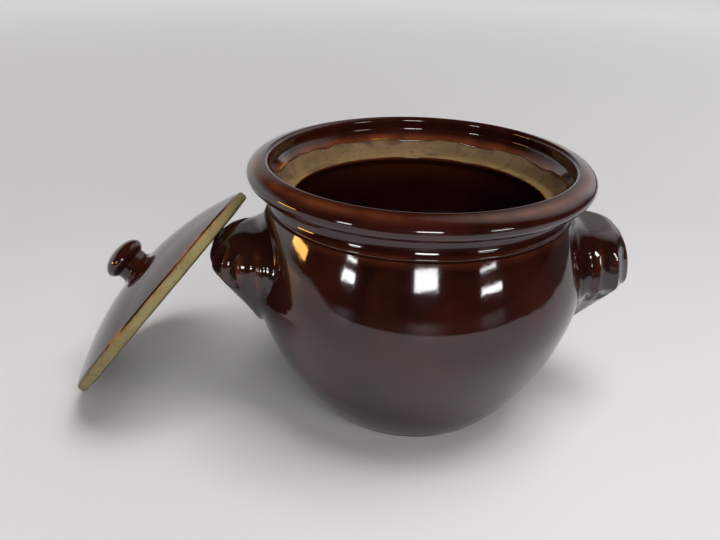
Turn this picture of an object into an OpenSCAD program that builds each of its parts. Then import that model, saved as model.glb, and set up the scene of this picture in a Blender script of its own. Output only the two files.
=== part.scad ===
// Stoneware bean pot with two fluted lug handles and a lift-off lid.
// The pot stands on z = 0 with its axis at the origin, and the handles lie near the X axis.
// The lid is off: it stands on its edge on the left and leans on the left handle.
// Each thrown piece is one section in the r-z plane, turned about the piece's own axis.

/* [Pot] */
// Radius of the belly where it is widest
belly_radius = 99; // [95:0.5:103]
// Height of the widest part of the belly
belly_height = 87; // [82:0.5:90]
// Radius of the flat foot
foot_radius = 57; // [52:0.5:60]
// Thickness of the thrown wall
wall = 7.5; // [6:0.5:9]
// Thickness of the floor
floor_thickness = 9; // [6:0.5:12]
// Radius of the curve that joins the floor to the inside of the wall
floor_curve = 14; // [8:1:20]
// Radius of the curve of the side just below the widest part
belly_curve = 70; // [60:1:80]
// Radius of the curve of the shoulder just above the widest part
shoulder_curve = 50; // [44:1:60]
// Slope of the shoulder from the upright, in degrees
shoulder_slope = 17; // [14:0.5:20]
// Height of the groove where the shoulder meets the neck
collar_height = 128; // [126:0.5:130]

/* [Neck and rim] */
// Step inward from the shoulder to the bead above the groove
bead_step = 1; // [0.6:0.1:1.4]
// Depth of the groove, measured from the shoulder
groove_depth = 1.8; // [1.4:0.1:2.2]
// Radius of the bead above the groove
bead_round = 1.2; // [0.8:0.1:1.5]
// Depth of the hollow of the neck
neck_hollow = 2; // [1.5:0.1:2.5]
// Distance by which the rolled rim stands out past the shoulder at the groove
rim_overhang = 11.25; // [10:0.25:14]
// Height of the thickest part of the rolled rim above the groove
rim_lift = 20; // [18.5:0.5:22]
// Half width of the roll, from its outermost point to its middle
roll_width = 8.7; // [8:0.1:9.5]
// Half height of the roll
roll_rise = 6.7; // [6:0.1:7.5]
// Rise of the inner edge of the rim above the roll
lip_rise = 0.6; // [0.2:0.1:1.2]
// Radius of the round on the inner edge of the rim
lip_round = 2.6; // [2:0.1:3]

/* [Gallery for the lid] */
// Breadth of the rim, from its outermost point in to the glazed wall round the lid
rim_breadth = 12.5; // [11.5:0.25:13.5]
// Depth of the flat ledge that carries the lid, below the top of the rim
seat_depth = 22.8; // [21:0.2:24]
// Distance from the glazed wall in to the foot of the bank behind the ledge
bank_reach = 9.3; // [8.5:0.1:10.3]
// Radius of the cove between the ledge and the bank
cove_round = 2; // [1.5:0.25:2.5]
// Slope of the bank from the upright, in degrees
bank_slope = 30; // [26:1:32]
// Height of the bare clay above the ledge, up to the glaze
bare_band = 9; // [6:0.5:11]
// Breadth of the flat ledge, from the foot of the bank in to the opening
ledge_breadth = 3.7; // [2.6:0.1:7]
// Radius of the round on the edge of the ledge
throat_round = 1.2; // [1:0.1:1.5]

/* [Glaze] */
// Thickness of a coat of glaze
glaze = 0.5; // [0.4:0.1:0.8]
// Height of the bare clay at the foot
foot_band = 3; // [2:0.5:6]

/* [Handles] */
// Width of a handle at its widest level
handle_width = 64; // [58:1:72]
// Radius of a handle's round ends at its widest level
handle_end = 28; // [24:0.5:28.5]
// Radius of the curve from a handle's face to its underside
handle_chin = 10; // [8:0.5:14]
// Number of flutes down the face of a handle
flute_count = 8; // [4:1:9]
// Spacing of the flutes along the face
flute_pitch = 8.5; // [7.5:0.5:9]
// Radius of a flute
flute_radius = 6; // [5:0.5:8]
// Depth of a flute
flute_depth = 1.1; // [0.8:0.1:1.5]

/* [Left handle] */
// Distance by which the left handle stands out past the belly
left_bulge = 23.6; // [21:0.2:26]
// Turn of the left handle towards the front, in degrees
left_turn = 17; // [13:1:20]
// Height of the widest level of the left handle above that of the belly
left_lift = 13; // [11:0.5:15]
// Height of the left handle's top above its widest level
left_rise = 18; // [16:0.5:20]
// Width of the round from the top to the face of the left handle
left_shoulder = 22; // [20:0.5:24]
// Slope of the left handle's underside from the upright, in degrees
left_slope = 37; // [34:1:40]

/* [Right handle] */
// Distance by which the right handle stands out past the belly
right_bulge = 29; // [24:0.5:31]
// Turn of the right handle towards the back, in degrees
right_turn = 6; // [0:1:10]
// Height of the widest level of the right handle above that of the belly
right_lift = 6; // [3:0.5:9]
// Height of the right handle's top above its widest level
right_rise = 24; // [21:0.5:27]
// Width of the round from the top to the face of the right handle
right_shoulder = 15; // [12:0.5:20]
// Slope of the right handle's underside from the upright, in degrees
right_slope = 42; // [39:1:45]

/* [Lid] */
// Gap all round the seated lid's edge, measured to the top of the cove
lid_clearance = 1.7; // [1:0.1:3]
// Thickness of the lid at its edge
lid_edge = 6.4; // [5:0.2:8]
// Radius of the rounds along the lid's edge
edge_round = 1.8; // [1.5:0.1:2]
// Rise of the dome above the lid's edge
dome_rise = 17.5; // [14:0.5:22]
// Width of the flat ring under the lid that rests on the ledge
ring_width = 6; // [5:0.5:8]
// Thickness of the lid at its middle
lid_thickness = 6.5; // [5:0.5:8]

/* [Knob] */
// Radius of the knob's head
knob_radius = 14.2; // [12.5:0.1:16]
// Height of the knob's head
knob_height = 14.5; // [12:0.5:16]
// Radius of the knob's neck
neck_radius = 10.8; // [9:0.2:11.2]
// Height of the neck above the crown of the dome
neck_height = 3; // [2:0.25:5]
// Radius of the curve that spreads the neck onto the dome
flare_round = 3; // [2.5:0.25:4]

/* [Leaning lid] */
// Tilt of the lid from lying flat, in degrees
lean_tilt = 51.2; // [50:0.2:55]
// Turn of the lid's lean from the X axis towards the back, in degrees
lean_turn = 3.8; // [0:0.2:8]
// Distance of the lid's middle in front of the line of its lean
lean_side = 16; // [12:0.5:20]
// Depth to which the handle's bulge enters the hollow of the lid
lean_nest = 0.3; // [0:0.1:0.4]

/* [Hidden] */
$fn = 180;
arc_angle = 12;
arc_length = 4;
groove_rise = 0.2;
clay = "tan";
treacle = "saddlebrown";
dark_treacle = "maroon";

// ---- Sections -------------------------------------------------------------------------

function reverse(list) = [for (i = [len(list) - 1:-1:0]) list[i]];

// Points about c from one angle to another, on a circle or on an oval of two half axes. The
// steps turn by arc_angle or run for arc_length at most.
function bow(c, across, up, from, to) =
    let (angle = abs(to - from),
        steps = ceil(max(angle / arc_angle, angle * PI / 180 * max(across, up) / arc_length)))
    [for (i = [0:steps]) let (a = from + (to - from) * i / steps)
        c + [across * cos(a), up * sin(a)]];

// The side below the belly is two arcs. They meet where the side leans by side_slope, and
// the lower one ends at the edge of the foot.
side_slope = 16;
belly_centre = [belly_radius - belly_curve, belly_height];
side_out = [cos(side_slope), -sin(side_slope)];
side_joint = belly_centre + belly_curve * side_out;
foot_edge = [foot_radius, 0];
foot_chord = foot_edge - side_joint;
side_curve = -(foot_chord * foot_chord) / (2 * (foot_chord * side_out));
side_centre = side_joint - side_curve * side_out;

shoulder_centre = [belly_radius - shoulder_curve, belly_height];
shoulder_out = [cos(shoulder_slope), sin(shoulder_slope)];
shoulder_end = shoulder_centre + shoulder_curve * shoulder_out;
collar_radius = shoulder_end[0] - (collar_height - shoulder_end[1]) * tan(shoulder_slope);

// Angle on the side's lower arc at a height, on the surface that lies t under the outside
function side_angle(height, t) = asin((height - side_centre[1]) / (side_curve - t));

// The side and the shoulder, t under the outside, from an angle on the lower arc upward
function side(t, from) = concat(
    bow(side_centre, side_curve - t, side_curve - t, from, -side_slope),
    bow(belly_centre, belly_curve - t, belly_curve - t, -side_slope, 0),
    bow(shoulder_centre, shoulder_curve - t, shoulder_curve - t, 0, shoulder_slope),
    [[collar_radius, collar_height] - t * shoulder_out]);

// Above the groove the outside is a bead, the hollow neck, the roll and the round inner edge.
rim_radius = collar_radius + rim_overhang;
rim_height = collar_height + rim_lift;
gallery_radius = rim_radius - rim_breadth;
bead_centre = [collar_radius - bead_step - bead_round, collar_height + bead_round];
bead_start = -45;
bead_end = 50;
groove_foot = [collar_radius - groove_depth, collar_height + groove_rise];
roll_centre = [rim_radius - roll_width, rim_height];
roll_start = -110;
roll_end = 75;
neck_foot = bead_centre + bead_round * [cos(bead_end), sin(bead_end)];
neck_head = roll_centre + [roll_width * cos(roll_start), roll_rise * sin(roll_start)];
neck_half = norm(neck_head - neck_foot) / 2;
neck_curve = (neck_half * neck_half + neck_hollow * neck_hollow) / (2 * neck_hollow);
neck_across = atan2(neck_head[1] - neck_foot[1], neck_head[0] - neck_foot[0]) + 90;
neck_spread = asin(neck_half / neck_curve);
neck_centre = (neck_foot + neck_head) / 2
    - (neck_curve - neck_hollow) * [cos(neck_across), sin(neck_across)];
pot_height = rim_height + roll_rise + lip_rise;
lip_centre = [gallery_radius + lip_round, pot_height - lip_round];

function neck_and_rim(t) = concat(
    [groove_foot - [t, 0]],
    bow(bead_centre, bead_round - t, bead_round - t, bead_start, bead_end),
    bow(neck_centre, neck_curve + t, neck_curve + t,
        neck_across + neck_spread, neck_across - neck_spread),
    bow(roll_centre, roll_width - t, roll_rise - t, roll_start, roll_end),
    bow(lip_centre, lip_round - t, lip_round - t, 90, 180));

// The gallery. Its upright wall leans in as a bank above the ledge, and a cove joins the two.
// A point on the bank, t above the clay, at a height, and the height where the wall begins
seat_height = pot_height - seat_depth;
seat_radius = gallery_radius - bank_reach;
throat_radius = seat_radius - ledge_breadth;
cove_centre = [seat_radius, seat_height + cove_round];
function bank_foot(t) = cove_centre + (cove_round - t) * [cos(bank_slope), -sin(bank_slope)];
function bank(t, height) =
    [bank_foot(t)[0] + (height - bank_foot(t)[1]) * tan(bank_slope), height];
function bank_top(t) =
    bank_foot(t)[1] + (gallery_radius + glaze - t - bank_foot(t)[0]) / tan(bank_slope);
throat_centre = [throat_radius + throat_round, seat_height - throat_round];
gallery = concat([bank(0, bank_top(0))],
    bow(cove_centre, cove_round, cove_round, -bank_slope, -90),
    bow(throat_centre, throat_round, throat_round, 90, 225));
glaze_end = seat_height + bare_band;

// The inside, t under the outside, from the middle of a floor at a height up to the shoulder
function inside(t, floor_height, curve) =
    let (rise = floor_height + curve - side_centre[1],
        reach = side_curve - t - curve,
        centre = [side_centre[0] + sqrt(reach * reach - rise * rise), floor_height + curve],
        turn = asin(rise / reach))
    concat([[0, floor_height]], bow(centre, curve, curve, -90, turn), side(t, turn));

// ---- Pot --------------------------------------------------------------------------------

// The whole outside as a solid, to which the handles are fitted
module pot_outside() {
    rotate_extrude()
        polygon(concat([[0, 0]], side(0, side_angle(0, 0)), neck_and_rim(0),
            [[0, pot_height]]));
}

module pot_body() {
    color(clay) rotate_extrude()
        polygon(concat([[0, 0]], side(glaze, side_angle(0, glaze)), neck_and_rim(glaze),
            gallery, reverse(inside(wall, floor_thickness, floor_curve))));
}

module outer_glaze() {
    color(treacle) rotate_extrude()
        polygon(concat(
            side(0, side_angle(foot_band, 0)), neck_and_rim(0),
            [bank(glaze, bank_top(glaze)), bank(glaze, glaze_end),
                bank(0, glaze_end), bank(0, bank_top(0))],
            reverse(neck_and_rim(glaze)), reverse(side(glaze, side_angle(foot_band, glaze)))));
}

module inner_glaze() {
    color(dark_treacle) rotate_extrude()
        polygon(concat(inside(wall, floor_thickness, floor_curve),
            reverse(inside(wall + glaze, floor_thickness + glaze, floor_curve - glaze))));
}

// ---- Handles ----------------------------------------------------------------------------

// Half of a handle's section through its axis: a sloping underside, a chin and a domed top
function handle_section(middle, top, shoulder, slope) =
    let (chin = bow([handle_end - handle_chin, middle], handle_chin, handle_chin, -slope, 0),
        tip = chin[0][1] - chin[0][0] / tan(slope))
    concat([[0, tip]], chin, bow([handle_end - shoulder, middle], shoulder, top - middle, 0, 90),
        [[0, top]]);

handle_spread = handle_width / 2 - handle_end;
left_reach = belly_radius + left_bulge;
left_middle = belly_height + left_lift;
left_top = left_middle + left_rise;
right_reach = belly_radius + right_bulge;
right_middle = belly_height + right_lift;
right_top = right_middle + right_rise;

// A lug of pulled clay, turned from the X axis: a bell with a flat middle, fluted down its
// face, and cut to the pot that it is pressed onto
module handle(section, reach, turn) {
    difference() {
        rotate([0, 0, turn]) translate([reach - handle_end, 0, 0]) difference() {
            union() {
                for (side = [-1, 1])
                    translate([0, side * handle_spread, 0])
                        rotate_extrude() polygon(section);
                translate([0, handle_spread, 0]) rotate([90, 0, 0])
                    linear_extrude(2 * handle_spread) polygon(section);
            }
            for (i = [0:flute_count - 1]) flute((i - (flute_count - 1) / 2) * flute_pitch);
        }
        pot_outside();
    }
}

// One upright flute, at a distance along the face from the middle of the handle
module flute(along) {
    past_flat = max(abs(along) - handle_spread, 0);
    turn = sign(along) * past_flat / handle_end * 180 / PI;
    on_flat = sign(along) * min(abs(along), handle_spread);
    translate([0, on_flat, 0]) rotate([0, 0, turn])
        translate([handle_end + flute_radius - flute_depth, 0, 0])
            cylinder(r = flute_radius, h = pot_height, $fn = 48);
}

module left_handle() {
    color(treacle) handle(handle_section(left_middle, left_top, left_shoulder, left_slope),
        left_reach, 180 + left_turn);
}

module right_handle() {
    color(treacle) handle(handle_section(right_middle, right_top, right_shoulder, right_slope),
        right_reach, right_turn);
}

// ---- Lid --------------------------------------------------------------------------------

// The lid in its own frame: the flat ring lies on z = 0 and the knob is on the Z axis.
lid_radius = seat_radius + cove_round - lid_clearance;
ring_radius = lid_radius - ring_width;
edge_inset = lid_radius - edge_round;
dome_radius = (edge_inset * edge_inset + dome_rise * dome_rise) / (2 * dome_rise);
dome_centre = [0, lid_edge + dome_rise - dome_radius];
dome_angle = acos(edge_inset / dome_radius);
hollow_rise = lid_edge + dome_rise - lid_thickness;
hollow_radius = (ring_radius * ring_radius + hollow_rise * hollow_rise) / (2 * hollow_rise);
hollow_centre = [0, hollow_rise - hollow_radius];
hollow_angle = acos(ring_radius / hollow_radius);
knob_foot = neck_radius + flare_round;

function dome(t, to) =
    bow(dome_centre, dome_radius - t, dome_radius - t, dome_angle, to);

// The clay of the lid: hollow below, a flat ring, a bare edge with two rounds, and the dome
lid_outline = concat(
    bow(hollow_centre, hollow_radius, hollow_radius, 90, hollow_angle),
    bow([edge_inset, edge_round], edge_round, edge_round, -90, 0),
    bow([edge_inset, lid_edge - glaze - edge_round], edge_round, edge_round, 0, 90),
    dome(glaze, 90));

// The knob: a neck that flares onto the dome, and a flattened round head
crown = lid_edge + dome_rise;
knob_foot_height = dome_centre[1] + sqrt(dome_radius * dome_radius - knob_foot * knob_foot);
head_half = knob_height / 2;
head_centre = [0, crown + neck_height + head_half];
head_start = -acos(neck_radius / knob_radius);
knob_outline = concat(
    [[0, hollow_rise], [knob_foot, hollow_rise]],
    bow([knob_foot, knob_foot_height + flare_round], flare_round, flare_round, 270, 180),
    bow(head_centre, knob_radius, head_half, head_start, 90));

// Where the lid leans. A plane of this tilt would touch the outside of the left handle's
// dome at handle_touch along its own normal, and the ring lies lean_nest beneath it.
lean_way = [-cos(lean_turn), sin(lean_turn)];
front_way = [-sin(lean_turn), -cos(lean_turn)];
left_way = [-cos(left_turn), -sin(left_turn)];
left_across = [sin(left_turn), -cos(left_turn)];
dome_reach = norm([left_shoulder * sin(lean_tilt), (left_top - left_middle) * cos(lean_tilt)]);
handle_touch = dome_reach + left_middle * cos(lean_tilt)
    + sin(lean_tilt) * ((left_reach - handle_end) * (left_way * lean_way)
        + handle_spread * abs(left_across * lean_way) + handle_end - left_shoulder);
lid_height = edge_inset * sin(lean_tilt) + edge_round * (1 - cos(lean_tilt));
lid_out = (handle_touch - lean_nest - lid_height * cos(lean_tilt)) / sin(lean_tilt);
lid_place = lid_out * lean_way + lean_side * front_way;

module leaning() {
    translate([lid_place[0], lid_place[1], lid_height])
        rotate([0, 0, -lean_turn]) rotate([0, -lean_tilt, 0]) children();
}

module lid_body() {
    color(clay) leaning() rotate_extrude() polygon(lid_outline);
}

module lid_glaze() {
    coat_end = acos(knob_foot / dome_radius);
    color(treacle) leaning() rotate_extrude()
        polygon(concat(dome(0, coat_end), reverse(dome(glaze, coat_end))));
}

module lid_under_glaze() {
    coat = hollow_radius - glaze;
    color(dark_treacle) leaning() rotate_extrude()
        polygon(concat(bow(hollow_centre, hollow_radius, hollow_radius, hollow_angle, 90),
            bow(hollow_centre, coat, coat, 90, acos(ring_radius / hollow_radius))));
}

module lid_knob() {
    color(treacle) leaning() difference() {
        rotate_extrude() polygon(knob_outline);
        rotate_extrude() polygon(lid_outline);
    }
}

// ---- Assembly ---------------------------------------------------------------------------

pot_body();
outer_glaze();
inner_glaze();
left_handle();
right_handle();
lid_body();
lid_knob();
lid_glaze();
lid_under_glaze();
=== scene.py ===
from math import acos, asin, atan2, ceil, cos, degrees, hypot, pi, radians, sin, sqrt, tan

import bmesh
import bpy
import numpy as np
from mathutils import Matrix, Vector


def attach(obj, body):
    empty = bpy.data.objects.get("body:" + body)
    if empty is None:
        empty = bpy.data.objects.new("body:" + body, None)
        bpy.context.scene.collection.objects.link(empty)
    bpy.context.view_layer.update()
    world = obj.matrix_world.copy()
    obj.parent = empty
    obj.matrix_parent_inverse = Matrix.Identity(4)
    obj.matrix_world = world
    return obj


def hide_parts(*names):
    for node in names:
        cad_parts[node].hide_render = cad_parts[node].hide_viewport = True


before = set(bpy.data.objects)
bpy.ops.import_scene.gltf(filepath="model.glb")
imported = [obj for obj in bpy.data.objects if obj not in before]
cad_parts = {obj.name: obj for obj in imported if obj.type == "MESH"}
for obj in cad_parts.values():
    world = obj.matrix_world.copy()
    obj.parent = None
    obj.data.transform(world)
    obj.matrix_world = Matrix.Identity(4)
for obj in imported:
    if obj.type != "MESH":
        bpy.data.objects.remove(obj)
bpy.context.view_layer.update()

# ---- Pot ---------------------------------------------------------------------------------------
# One piece of buff stoneware, thrown on the wheel: foot, belly, shoulder, neck, rolled rim, and
# the gallery inside it that carries the lid. The clay shows at the foot and round the gallery.
# Its section is worked out in metres and degrees, from the middle of the foot.

mm = 0.001
belly_radius, belly_height, foot_radius = 99 * mm, 87 * mm, 57 * mm
wall, floor_thickness, floor_curve = 7.5 * mm, 9 * mm, 14 * mm
belly_curve, shoulder_curve, shoulder_slope, side_slope = 70 * mm, 50 * mm, 17, 16
collar_height = 128 * mm
bead_step, groove_depth, groove_rise, bead_round = 1 * mm, 1.8 * mm, 0.2 * mm, 1.2 * mm
neck_hollow = 2 * mm
rim_overhang, rim_lift, rim_breadth = 11.25 * mm, 20 * mm, 12.5 * mm
bead_start, bead_end, roll_start, roll_end = -45, 50, -110, 75
roll_width, roll_rise, lip_rise, lip_round = 8.7 * mm, 6.7 * mm, 0.6 * mm, 2.6 * mm
seat_depth, bank_reach, ledge_breadth = 22.8 * mm, 9.3 * mm, 3.7 * mm
cove_round, bank_slope, bare_band = 2 * mm, 30, 9 * mm
throat_round, throat_under = 1.2 * mm, 225
glaze = 0.5 * mm
foot_band = 3 * mm
crown_start = 12
around_the_pot = 180
seam = 0.001 * mm


def bow(middle, across, up, start, end, step=1.1 * mm):
    """Points from one angle to another about a middle, on a circle or an oval, in degrees."""
    steps = ceil(max(abs(end - start) / 9, radians(abs(end - start)) * max(across, up) / step))
    return [(middle[0] + across * cos(radians(a)), middle[1] + up * sin(radians(a)))
            for a in np.linspace(start, end, steps + 1)]


def along(point, length, angle):
    """The point that lies a length away from another, in a direction in degrees."""
    return (point[0] + length * cos(radians(angle)), point[1] + length * sin(radians(angle)))


belly_middle = (belly_radius - belly_curve, belly_height)
side_joint = along(belly_middle, belly_curve, -side_slope)
foot_chord = (foot_radius - side_joint[0], -side_joint[1])
side_curve = -(foot_chord[0] ** 2 + foot_chord[1] ** 2) / 2 / (
    foot_chord[0] * cos(radians(side_slope)) - foot_chord[1] * sin(radians(side_slope)))
side_middle = along(side_joint, -side_curve, -side_slope)
shoulder_middle = (belly_radius - shoulder_curve, belly_height)
shoulder_end = along(shoulder_middle, shoulder_curve, shoulder_slope)
collar_radius = shoulder_end[0] - (collar_height - shoulder_end[1]) * tan(radians(shoulder_slope))
crown = along(shoulder_middle, shoulder_curve, crown_start)
crown_chord = (crown[0] - collar_radius, collar_height - crown[1])
crown_end = 2 * degrees(atan2(*crown_chord)) - crown_start
crown_curve = hypot(*crown_chord) / 2 / sin(radians(crown_end - crown_start) / 2)
crown_middle = along(crown, -crown_curve, crown_start)
rim_radius = collar_radius + rim_overhang
rim_height = collar_height + rim_lift
gallery_radius = rim_radius - rim_breadth
pot_height = rim_height + roll_rise + lip_rise
seat_height = pot_height - seat_depth
seat_radius = gallery_radius - bank_reach
throat_radius = seat_radius - ledge_breadth


def side_angle(height, t):
    """Where on the lower arc of the side a height lies, t under the outside, in degrees."""
    return degrees(asin((height - side_middle[1]) / (side_curve - t)))


def side(t, start, step=1.1 * mm):
    """The side from an angle on its lower arc up to the groove, t under the outside."""
    up = bow(side_middle, side_curve - t, side_curve - t, start, -side_slope, step)
    up += bow(belly_middle, belly_curve - t, belly_curve - t, -side_slope, 0, step)[1:]
    up += bow(shoulder_middle, shoulder_curve - t, shoulder_curve - t, 0, crown_start, step)[1:]
    return up + bow(crown_middle, crown_curve - t, crown_curve - t, crown_start, crown_end, step)[1:]


def neck_and_rim(t):
    """The groove, the bead, the hollow neck, the roll and the rim's inner edge."""
    bead = (collar_radius - bead_step - bead_round, collar_height + bead_round)
    roll = (rim_radius - roll_width, rim_height)
    foot = np.array(along(bead, bead_round, bead_end))
    head = np.array(bow(roll, roll_width, roll_rise, roll_start, roll_end)[0])
    half = np.linalg.norm(head - foot) / 2
    curve = (half * half + neck_hollow * neck_hollow) / (2 * neck_hollow)
    across = degrees(atan2(*(head - foot)[::-1])) + 90
    middle = along((foot + head) / 2, -(curve - neck_hollow), across)
    spread = degrees(asin(half / curve))
    lip = (gallery_radius + lip_round, pot_height - lip_round)
    groove = (collar_radius - groove_depth, collar_height + groove_rise)
    return ([(groove[0] - t, groove[1])]
            + bow(bead, bead_round - t, bead_round - t, bead_start, bead_end)
            + bow(middle, curve + t, curve + t, across + spread, across - spread)[1:]
            + bow(roll, roll_width - t, roll_rise - t, roll_start, roll_end, 0.7 * mm)
            + bow(lip, lip_round - t, lip_round - t, 90, 180))


cove = (seat_radius, seat_height + cove_round)


def bank(t, height):
    """The point at a height on the bank behind the ledge, t above the clay."""
    foot = along(cove, cove_round - t, -bank_slope)
    return (foot[0] + (height - foot[1]) * tan(radians(bank_slope)), height)


def bank_top(t):
    """The height at which the bank runs into the upright wall of the gallery."""
    foot = along(cove, cove_round - t, -bank_slope)
    return foot[1] + (gallery_radius + glaze - t - foot[0]) / tan(radians(bank_slope))


def inside(t, floor, curve):
    """The inside, t under the outside, from the middle of a floor up to the shoulder."""
    rise, reach = floor + curve - side_middle[1], side_curve - t - curve
    middle = (side_middle[0] + sqrt(reach * reach - rise * rise), floor + curve)
    turn = degrees(asin(rise / reach))
    flat = [(middle[0] * k / 20, floor) for k in range(20)]
    return flat + bow(middle, curve, curve, -90, turn) + side(t, turn)[1:]


def between(start, end, steps):
    """Points that divide the line between two points, without its ends."""
    return [tuple(np.array(start) + (np.array(end) - start) * k / steps) for k in range(1, steps)]


def node(tree, kind, sockets=(), **settings):
    """A new node with its settings. A socket is given a value, or the output that feeds it."""
    made = tree.nodes.new(kind)
    for name, value in settings.items():
        setattr(made, name, value)
    for key, value in dict(sockets).items():
        if isinstance(value, bpy.types.NodeSocket):
            tree.links.new(value, made.inputs[key])
        else:
            made.inputs[key].default_value = value
    return made


def sum_of(tree, operation, *values):
    """The output of a Math node on two or three values."""
    return node(tree, "ShaderNodeMath", dict(enumerate(values)), operation=operation).outputs[0]


def wheel_tree():
    """Throws a section: turns a chain of points round the Z axis, with the marks of the hands."""
    wander_turns, ring_turns, round_turns, round_climb, axis_fade = 3.2, 0.35, 0.7, 12.0, 60.0
    tree = bpy.data.node_groups.new("wheel", "GeometryNodeTree")
    for name, kind in (("Section", "Geometry"), ("Steps Around", "Int"), ("Ring Spacing", "Float"),
                       ("Ring Depth", "Float"), ("Out of Round", "Float"), ("Sway", "Float"),
                       ("Edge Wander", "Float"), ("Seed", "Float"), ("Finish", "Material")):
        tree.interface.new_socket(name=name, in_out="INPUT", socket_type="NodeSocket" + kind)
    tree.interface.new_socket(name="Thrown", in_out="OUTPUT", socket_type="NodeSocketGeometry")
    given = tree.nodes.new("NodeGroupInput").outputs
    count = node(tree, "GeometryNodeAttributeDomainSize", {0: given["Section"]}).outputs[0]
    columns = sum_of(tree, "ADD", given["Steps Around"], 1)
    grid = node(tree, "GeometryNodeMeshGrid", {"Vertices X": count, "Vertices Y": columns})
    index = node(tree, "GeometryNodeInputIndex").outputs[0]
    row = sum_of(tree, "FLOOR", sum_of(tree, "DIVIDE", sum_of(tree, "ADD", index, 0.5), columns))
    column = sum_of(tree, "SUBTRACT", index, sum_of(tree, "MULTIPLY", row, columns))
    turned = sum_of(tree, "DIVIDE", sum_of(tree, "MULTIPLY", column, 2 * pi), given["Steps Around"])
    lap = sum_of(tree, "MODULO", sum_of(tree, "ADD", turned, 0.0001), 2 * pi)
    round_x, round_y = sum_of(tree, "COSINE", lap), sum_of(tree, "SINE", lap)

    def at_row(value, kind="FLOAT_VECTOR"):
        return node(tree, "GeometryNodeSampleIndex", {0: given["Section"], 1: value, 2: row},
                    data_type=kind).outputs[0]

    def noise(x, y, z):
        place = node(tree, "ShaderNodeCombineXYZ", {0: x, 1: y, 2: z}).outputs[0]
        return node(tree, "ShaderNodeTexNoise", {"Vector": place, "W": given["Seed"], "Scale": 1.0,
                                                 "Detail": 1.0}, noise_dimensions="4D").outputs[0]

    place = node(tree, "GeometryNodeInputPosition").outputs[0]
    slide = node(tree, "GeometryNodeInputNamedAttribute", {"Name": "slide"},
                 data_type="FLOAT_VECTOR").outputs[0]
    wander = sum_of(tree, "MULTIPLY", given["Edge Wander"], sum_of(
        tree, "SUBTRACT", noise(sum_of(tree, "MULTIPLY", round_x, wander_turns),
                                sum_of(tree, "MULTIPLY", round_y, wander_turns), 7.0), 0.5))
    moved = node(tree, "ShaderNodeVectorMath", {0: at_row(slide), "Scale": wander}, operation="SCALE")
    point = node(tree, "ShaderNodeSeparateXYZ", {0: node(
        tree, "ShaderNodeVectorMath", {0: at_row(place), 1: moved.outputs[0]}).outputs[0]}).outputs
    near_axis = sum_of(tree, "MINIMUM", sum_of(tree, "MULTIPLY", point["X"], axis_fade), 1.0)
    rings = noise(sum_of(tree, "MULTIPLY", round_x, ring_turns),
                  sum_of(tree, "MULTIPLY", round_y, ring_turns),
                  sum_of(tree, "DIVIDE", sum_of(tree, "ADD", point["Z"], point["X"]),
                         given["Ring Spacing"]))
    rounds = noise(sum_of(tree, "MULTIPLY", round_x, round_turns),
                   sum_of(tree, "MULTIPLY", round_y, round_turns),
                   sum_of(tree, "MULTIPLY", point["Z"], round_climb))
    sunk = sum_of(tree, "MULTIPLY", near_axis, sum_of(
        tree, "ADD", sum_of(tree, "MULTIPLY", rings, given["Ring Depth"]),
        sum_of(tree, "MULTIPLY", rounds, given["Out of Round"])))
    radius = sum_of(tree, "SUBTRACT", point["X"], sunk)
    height = sum_of(tree, "MULTIPLY", point["Z"], sum_of(tree, "SUBTRACT", 1.0, sum_of(
        tree, "MULTIPLY", given["Sway"], noise(round_x, round_y, 3.0))))
    thrown = node(tree, "ShaderNodeCombineXYZ", {0: sum_of(tree, "MULTIPLY", radius, round_x),
                                                 1: sum_of(tree, "MULTIPLY", radius, round_y),
                                                 2: height}).outputs[0]
    shape = node(tree, "GeometryNodeSetPosition", {"Geometry": grid.outputs[0], "Position": thrown})
    shape = node(tree, "GeometryNodeStoreNamedAttribute", {
        0: shape.outputs[0], "Name": "own_place", "Value": thrown}, data_type="FLOAT_VECTOR",
        domain="POINT")
    shape = node(tree, "GeometryNodeMergeByDistance", {0: shape.outputs[0], "Distance": seam})
    shape = node(tree, "GeometryNodeSetShadeSmooth", {0: shape.outputs[0]})
    shape = node(tree, "GeometryNodeRealizeInstances", {0: shape.outputs[0]})
    shape = node(tree, "GeometryNodeSetMaterial", {0: shape.outputs[0], "Material": given["Finish"]})
    tree.links.new(shape.outputs[0], tree.nodes.new("NodeGroupOutput").inputs[0])
    return tree


wheel = wheel_tree()


def grown(name, start, tree, **values):
    """The plain mesh object that a tree makes from a starting mesh, with the tree's inputs set."""
    seed_object = bpy.data.objects.new(name + "_start", start)
    bpy.context.collection.objects.link(seed_object)
    step = seed_object.modifiers.new("made", "NODES")
    step.node_group = tree
    for item in tree.interface.items_tree:
        if item.in_out == "INPUT" and item.name in values:
            step[item.identifier] = values[item.name]
    settled = seed_object.evaluated_get(bpy.context.evaluated_depsgraph_get())
    made = bpy.data.objects.new(name, bpy.data.meshes.new_from_object(settled))
    bpy.context.collection.objects.link(made)
    seed_object.modifiers.remove(step)
    bpy.data.objects.remove(seed_object)
    return made


def face_out(piece, sharp=50):
    """Points a closed piece's faces outwards, and marks its corners sharp."""
    shell = bmesh.new()
    shell.from_mesh(piece.data)
    bmesh.ops.recalc_face_normals(shell, faces=shell.faces)
    shell.to_mesh(piece.data)
    shell.free()
    piece.data.set_sharp_from_angle(angle=radians(sharp))


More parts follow.
